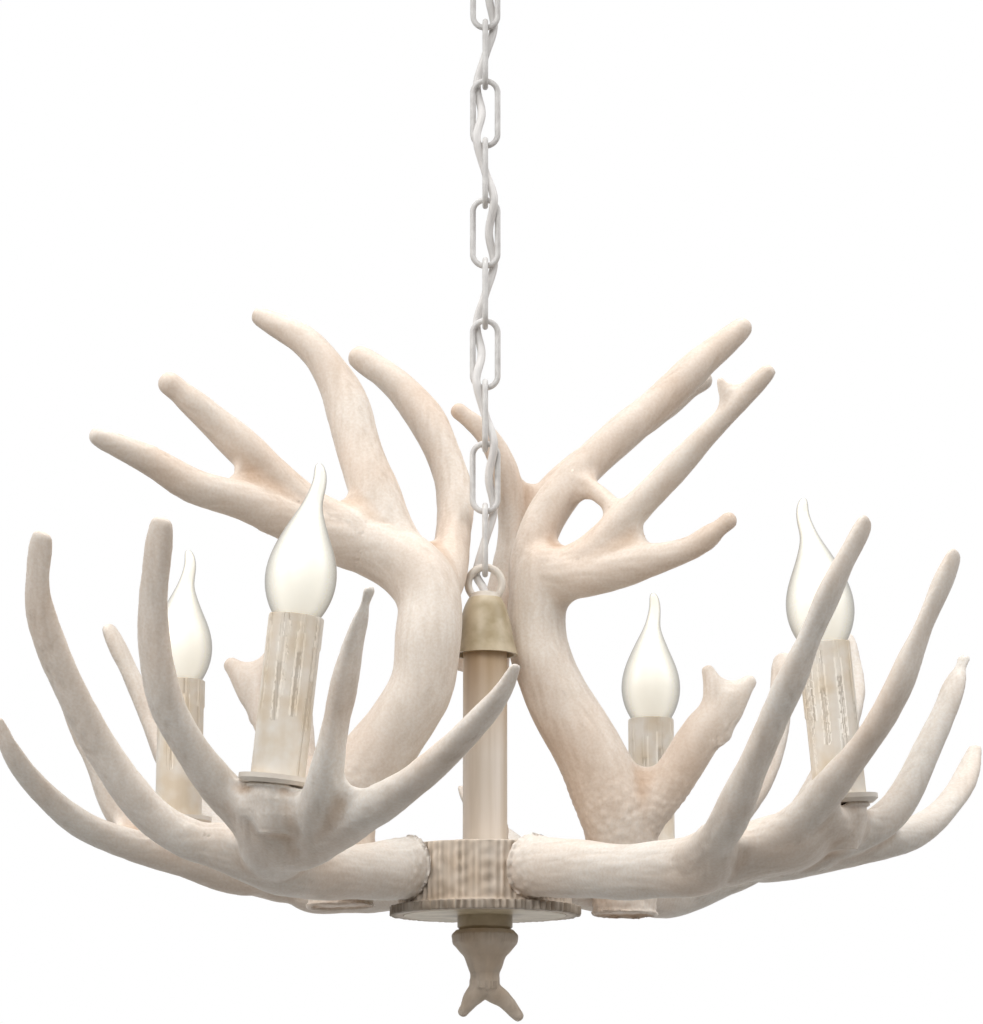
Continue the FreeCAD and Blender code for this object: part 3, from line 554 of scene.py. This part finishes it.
# ---- Supply cable ----------------------------------------------------------------
# A round white PVC cable that leaves the canopy through the upper loop, goes in and out of the
# links a quarter turn at a time, and goes down into the column through the lower loop.
cable_r = 0.0025
weave_mid = 0.0022                 # off the centre line in the middle of a link
weave_side = 0.0074                # off the centre line beside two hooked links
loop_steps = ((0.0052, 0.00015), (0.0012, 0.0016), (-0.0044, 0.0046))   # height and sideways, in a loop
straight_end = 0.008               # the cable is straight from here, above and below a loop's middle
cable_above_loop = 0.025           # from here up it runs unseen in the hollow stud
cable_below_loop = 0.030           # and from here down in the hollow rod
cable_step = 0.1                   # share of the way between two points
ring_outer_r = 0.01225
upper_ring_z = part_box("canopy_loop")[0].z + ring_outer_r
lower_ring_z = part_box("body_loop")[1].z - ring_outer_r
cable_high_z = upper_ring_z + cable_above_loop
cable_low_z = lower_ring_z - cable_below_loop
middles = [(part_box(n)[0].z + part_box(n)[1].z) / 2 for n in link_names]
pitch = middles[0] - middles[1]


def cable_points():
    """The cable's way from top to bottom, through both loops and all the links."""
    points = [(0, 0, cable_high_z), (0, 0, upper_ring_z + straight_end)]
    for rise, off in loop_steps:
        points.append((off, -off, upper_ring_z + rise))
    for j in range(link_count + 1):
        if j > 0:
            mid = math.radians(90 * (j - 1))
            points.append((weave_mid * math.cos(mid), weave_mid * math.sin(mid), middles[j - 1]))
        side = math.radians(90 * j - 45)
        hook = middles[0] + pitch / 2 + link_wire / 4 - j * pitch
        points.append((weave_side * math.cos(side), weave_side * math.sin(side), hook))
    for rise, off in reversed(loop_steps):
        points.append((-off, off, lower_ring_z - rise))
    return points + [(0, 0, lower_ring_z - straight_end), (0, 0, cable_low_z)]


def cable_run(name, z_high, z_low):
    """The stretch of cable between two heights, as a closed tube."""
    points = np.array(cable_points())
    fine = []
    padded = np.vstack([2 * points[0] - points[1], points, 2 * points[-1] - points[-2]])
    for i in range(1, len(padded) - 2):
        a, b, c, d = padded[i - 1:i + 3]
        for t in np.arange(0, 1, cable_step):
            fine.append(0.5 * (2 * b + (c - a) * t + (2 * a - 5 * b + 4 * c - d) * t * t
                               + (3 * b - a - 3 * c + d) * t ** 3))
    fine = np.array(fine + [points[-1]])
    heights = fine[:, 2]
    inside = fine[(heights < z_high) & (heights > z_low)]
    ends = [[np.interp(-z, -heights, fine[:, n]) for n in range(3)] for z in (z_high, z_low)]
    line = np.vstack([ends[0], inside, ends[1]])
    curve = bpy.data.curves.new(name, "CURVE")
    curve.dimensions = "3D"
    curve.bevel_depth = cable_r
    curve.bevel_resolution = 5
    curve.use_fill_caps = True
    spline = curve.splines.new("POLY")
    spline.points.add(len(line) - 1)
    for point, co in zip(spline.points, line):
        point.co = (*co, 1)
    piece = bpy.data.objects.new(name, curve)
    bpy.context.scene.collection.objects.link(piece)
    select_only(piece)
    bpy.ops.object.convert(target="MESH")
    bpy.ops.object.shade_smooth()
    return bpy.context.object


# Soft white PVC sheath, very slightly cloudy.
pvc, tree = new_material("white_pvc_cable")
pvc_ramp = mottled(tree, 12, "#dcd9d6", "#e9e6e3")[1]
pvc_shader = add_node(tree, "ShaderNodeBsdfPrincipled", {"Roughness": 0.42},
                      {"Base Color": (pvc_ramp, "Color")})
add_node(tree, "ShaderNodeOutputMaterial", None, {"Surface": (pvc_shader, "BSDF")})

cable_cuts = [cable_high_z, middles[0], middles[1], middles[-2], middles[-1], cable_low_z]
cable_bodies = [("ceiling_group", "top_link"), ("top_link", "chain"), ("chain", "chain"),
                ("chain", "bottom_link"), ("bottom_link", "light")]
for i, (upper_body, lower_body) in enumerate(cable_bodies):
    run = cable_run("cable_%d" % (i + 1), cable_cuts[i], cable_cuts[i + 1])
    run.data.materials.append(pvc)
    if upper_body == lower_body:
        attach(run, upper_body)
        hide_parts("supply_cable")
    else:
        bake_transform(run)

# ---- Candle lights ---------------------------------------------------------------
# Each light is a painted steel drip cup, a plastic candle sleeve with moulded wax runs, a black
# lampholder inside it and a frosted candle bulb with a drawn, bent tip. The holder's stem is screwed
# into the antler through the cup, and the sleeve slides over the holder.
sleeve_voxel = 0.0005
lamp_sharp_edge = math.radians(40)

# Moulded cream plastic like old wax: soft upright runs of a warmer tone, a slight sheen.
sleeve_plastic, tree = new_material("cream_moulded_plastic_sleeve")
run_ramp = mottled(tree, 9, "#e8dfd2", "#f0eae0", (1.0, 1.0, 0.14))[1]
wax_ramp = mottled(tree, 16, "#f1e8da", "#ffffff")[1]
wax_colour = add_node(tree, "ShaderNodeMix", multiply, {6: (run_ramp, "Color"), 7: (wax_ramp, "Color")})
sleeve_shader = add_node(tree, "ShaderNodeBsdfPrincipled", {"Roughness": 0.45, "IOR": 1.49},
                         {"Base Color": (wax_colour, 2)})
add_node(tree, "ShaderNodeOutputMaterial", None, {"Surface": (sleeve_shader, "BSDF")})

# Frosted glass lit from inside: nearly white over its belly and greyer at its edge, where the
# frosting is seen at a slant; a fine etched grain.
frosted, tree = new_material("frosted_glass_lit")
slant = add_node(tree, "ShaderNodeLayerWeight", {"Blend": 0.5})
belly = add_node(tree, "ShaderNodeValToRGB", None, {"Fac": (slant, "Facing")})
belly.color_ramp.elements[0].position = 0.20
belly.color_ramp.elements[0].color = linear("#fffdf4")
belly.color_ramp.elements[1].position = 0.80
belly.color_ramp.elements[1].color = linear("#8f8d88")
etch_ramp = mottled(tree, 0.7, "#f4f1ea", "#ffffff")[1]
glass_colour = add_node(tree, "ShaderNodeMix", multiply, {6: (belly, "Color"), 7: (etch_ramp, "Color")})
frosted_shader = add_node(tree, "ShaderNodeBsdfPrincipled",
                          {"Roughness": 0.35, "IOR": 1.45, "Emission Strength": 0.33},
                          {"Base Color": (glass_colour, 2), "Emission Color": (glass_colour, 2)})
add_node(tree, "ShaderNodeOutputMaterial", None, {"Surface": (frosted_shader, "BSDF")})

# Black phenolic moulding, a little uneven.
holder_black, tree = new_material("black_phenolic_lampholder")
holder_ramp = mottled(tree, 5, "#171615", "#24221f")[1]
holder_shader = add_node(tree, "ShaderNodeBsdfPrincipled", {"Roughness": 0.5},
                         {"Base Color": (holder_ramp, "Color")})
add_node(tree, "ShaderNodeOutputMaterial", None, {"Surface": (holder_shader, "BSDF")})

# Nickel plate on the lamp cap, dulled in patches.
cap_metal, tree = new_material("nickel_plated_lamp_cap")
cap_ramp = mottled(tree, 3, "#b9b3a3", "#cfcab9")[1]
cap_shader = add_node(tree, "ShaderNodeBsdfPrincipled", {"Roughness": 0.3, "Metallic": 1.0},
                      {"Base Color": (cap_ramp, "Color")})
add_node(tree, "ShaderNodeOutputMaterial", None, {"Surface": (cap_shader, "BSDF")})

for lamp in lamp_names:
    sleeve = copy_of_node("candle_sleeve_" + lamp, "sleeve_" + lamp)
    remesh(sleeve, sleeve_voxel)
    apply_modifier(sleeve, "SMOOTH", factor=0.5, iterations=6)
    bpy.ops.object.shade_smooth()
    finish_piece(sleeve, sleeve_plastic, "light", "candle_sleeve_" + lamp)
    for node, material, slot in (("drip_cup_", enamel, "white_metal"),
                                 ("lampholder_", holder_black, "holder_plastic"),
                                 ("bulb_cap_", cap_metal, "cap_metal"),
                                 ("bulb_glass_", frosted, "bulb_glass")):
        dress_node(node + lamp, material, lamp_sharp_edge)

# The terminal block in the canopy is moulded from the same black plastic as the holders.
dress_node("terminal_block", holder_black)

# ---- Floor, light and camera -----------------------------------------------------
# The light hangs in a soft white room over a wide pale floor, well below it, with four soft lamps
# above, beside and in front of it.
floor_below = 2.0
floor_size = 3.6
lamp_size = 1.2
lit_above_hub = 0.05

# Pale matte paint on a screed, with very slow clouds.
bpy.ops.mesh.primitive_plane_add(size=floor_size, location=(0, 0, cad_box[0][2] - floor_below))
floor = bpy.context.object
floor.name = "studio_floor"
floor_paint, tree = new_material("pale_matte_floor")
floor_ramp = mottled(tree, 240, "#dcdad6", "#e6e4e1")[1]
floor_shader = add_node(tree, "ShaderNodeBsdfPrincipled", {"Roughness": 0.8},
                        {"Base Color": (floor_ramp, "Color")})
add_node(tree, "ShaderNodeOutputMaterial", None, {"Surface": (floor_shader, "BSDF")})
floor.data.materials.append(floor_paint)

# The room lights the object from a dome that is darker below, and is seen as plain white.
world = bpy.data.worlds.new("soft_white_room")
bpy.context.scene.world = world
world.use_nodes = True
tree = world.node_tree
tree.nodes.clear()
rays = add_node(tree, "ShaderNodeLightPath")
direct = add_node(tree, "ShaderNodeMath", {"operation": "MAXIMUM"},
                  {0: (rays, "Is Camera Ray"), 1: (rays, "Is Transmission Ray")})
seen = add_node(tree, "ShaderNodeMath", {"operation": "MAXIMUM"},
                {0: (direct, "Value"), 1: (rays, "Is Glossy Ray")})
place = add_node(tree, "ShaderNodeTexCoord")
apart = add_node(tree, "ShaderNodeSeparateXYZ", None, {"Vector": (place, "Generated")})
height = add_node(tree, "ShaderNodeMapRange", {"From Min": -0.25, "From Max": 0.8}, {"Value": (apart, "Z")})
dome = add_node(tree, "ShaderNodeValToRGB", None, {"Fac": (height, "Result")})
dome.color_ramp.elements[0].color = linear("#5e5751")
dome.color_ramp.elements[1].color = linear("#ffffff")
room_light = add_node(tree, "ShaderNodeBackground", {"Strength": 0.57}, {"Color": (dome, "Color")})
room_seen = add_node(tree, "ShaderNodeBackground", {"Color": (1, 1, 1, 1), "Strength": 1.0})
room = add_node(tree, "ShaderNodeMixShader", None,
                {0: (seen, "Value"), 1: (room_light, "Background"), 2: (room_seen, "Background")})
add_node(tree, "ShaderNodeOutputWorld", None, {"Surface": (room, "Shader")})

lit_middle = Vector((0, 0, hub_top_z + lit_above_hub))
for name, location, power in (("left", (-2.0, -0.9, 0.7), 21.5), ("right", (2.1, -0.5, 0.7), 18),
                              ("top", (0.0, -0.1, 1.2), 20.5), ("front", (-0.6, -2.4, 0.6), 25)):
    bpy.ops.object.light_add(type="AREA", location=location)
    soft_lamp = bpy.context.object
    soft_lamp.name = name
    soft_lamp.data.size = lamp_size
    soft_lamp.data.energy = power
    way = lit_middle - Vector(location)
    soft_lamp.rotation_euler = way.to_track_quat("-Z", "Y").to_euler()

# The camera stands a little below the hub and looks up, as in the photograph.
sensor_mm = 36
photo_height_px = 1024
focal_px = 3265
camera_back = 1.900
camera_right = 0.00378
camera_below_hub = 0.1926
camera_tilt = math.radians(11.66)
bpy.ops.object.camera_add(location=(camera_right, -camera_back, hub_top_z - camera_below_hub),
                          rotation=(math.radians(90) + camera_tilt, 0, 0))
camera = bpy.context.object
camera.data.sensor_width = sensor_mm
camera.data.lens = focal_px / photo_height_px * sensor_mm
camera.data.clip_start = 0.05
bpy.context.scene.camera = camera
bpy.context.scene.view_settings.view_transform = "Standard"
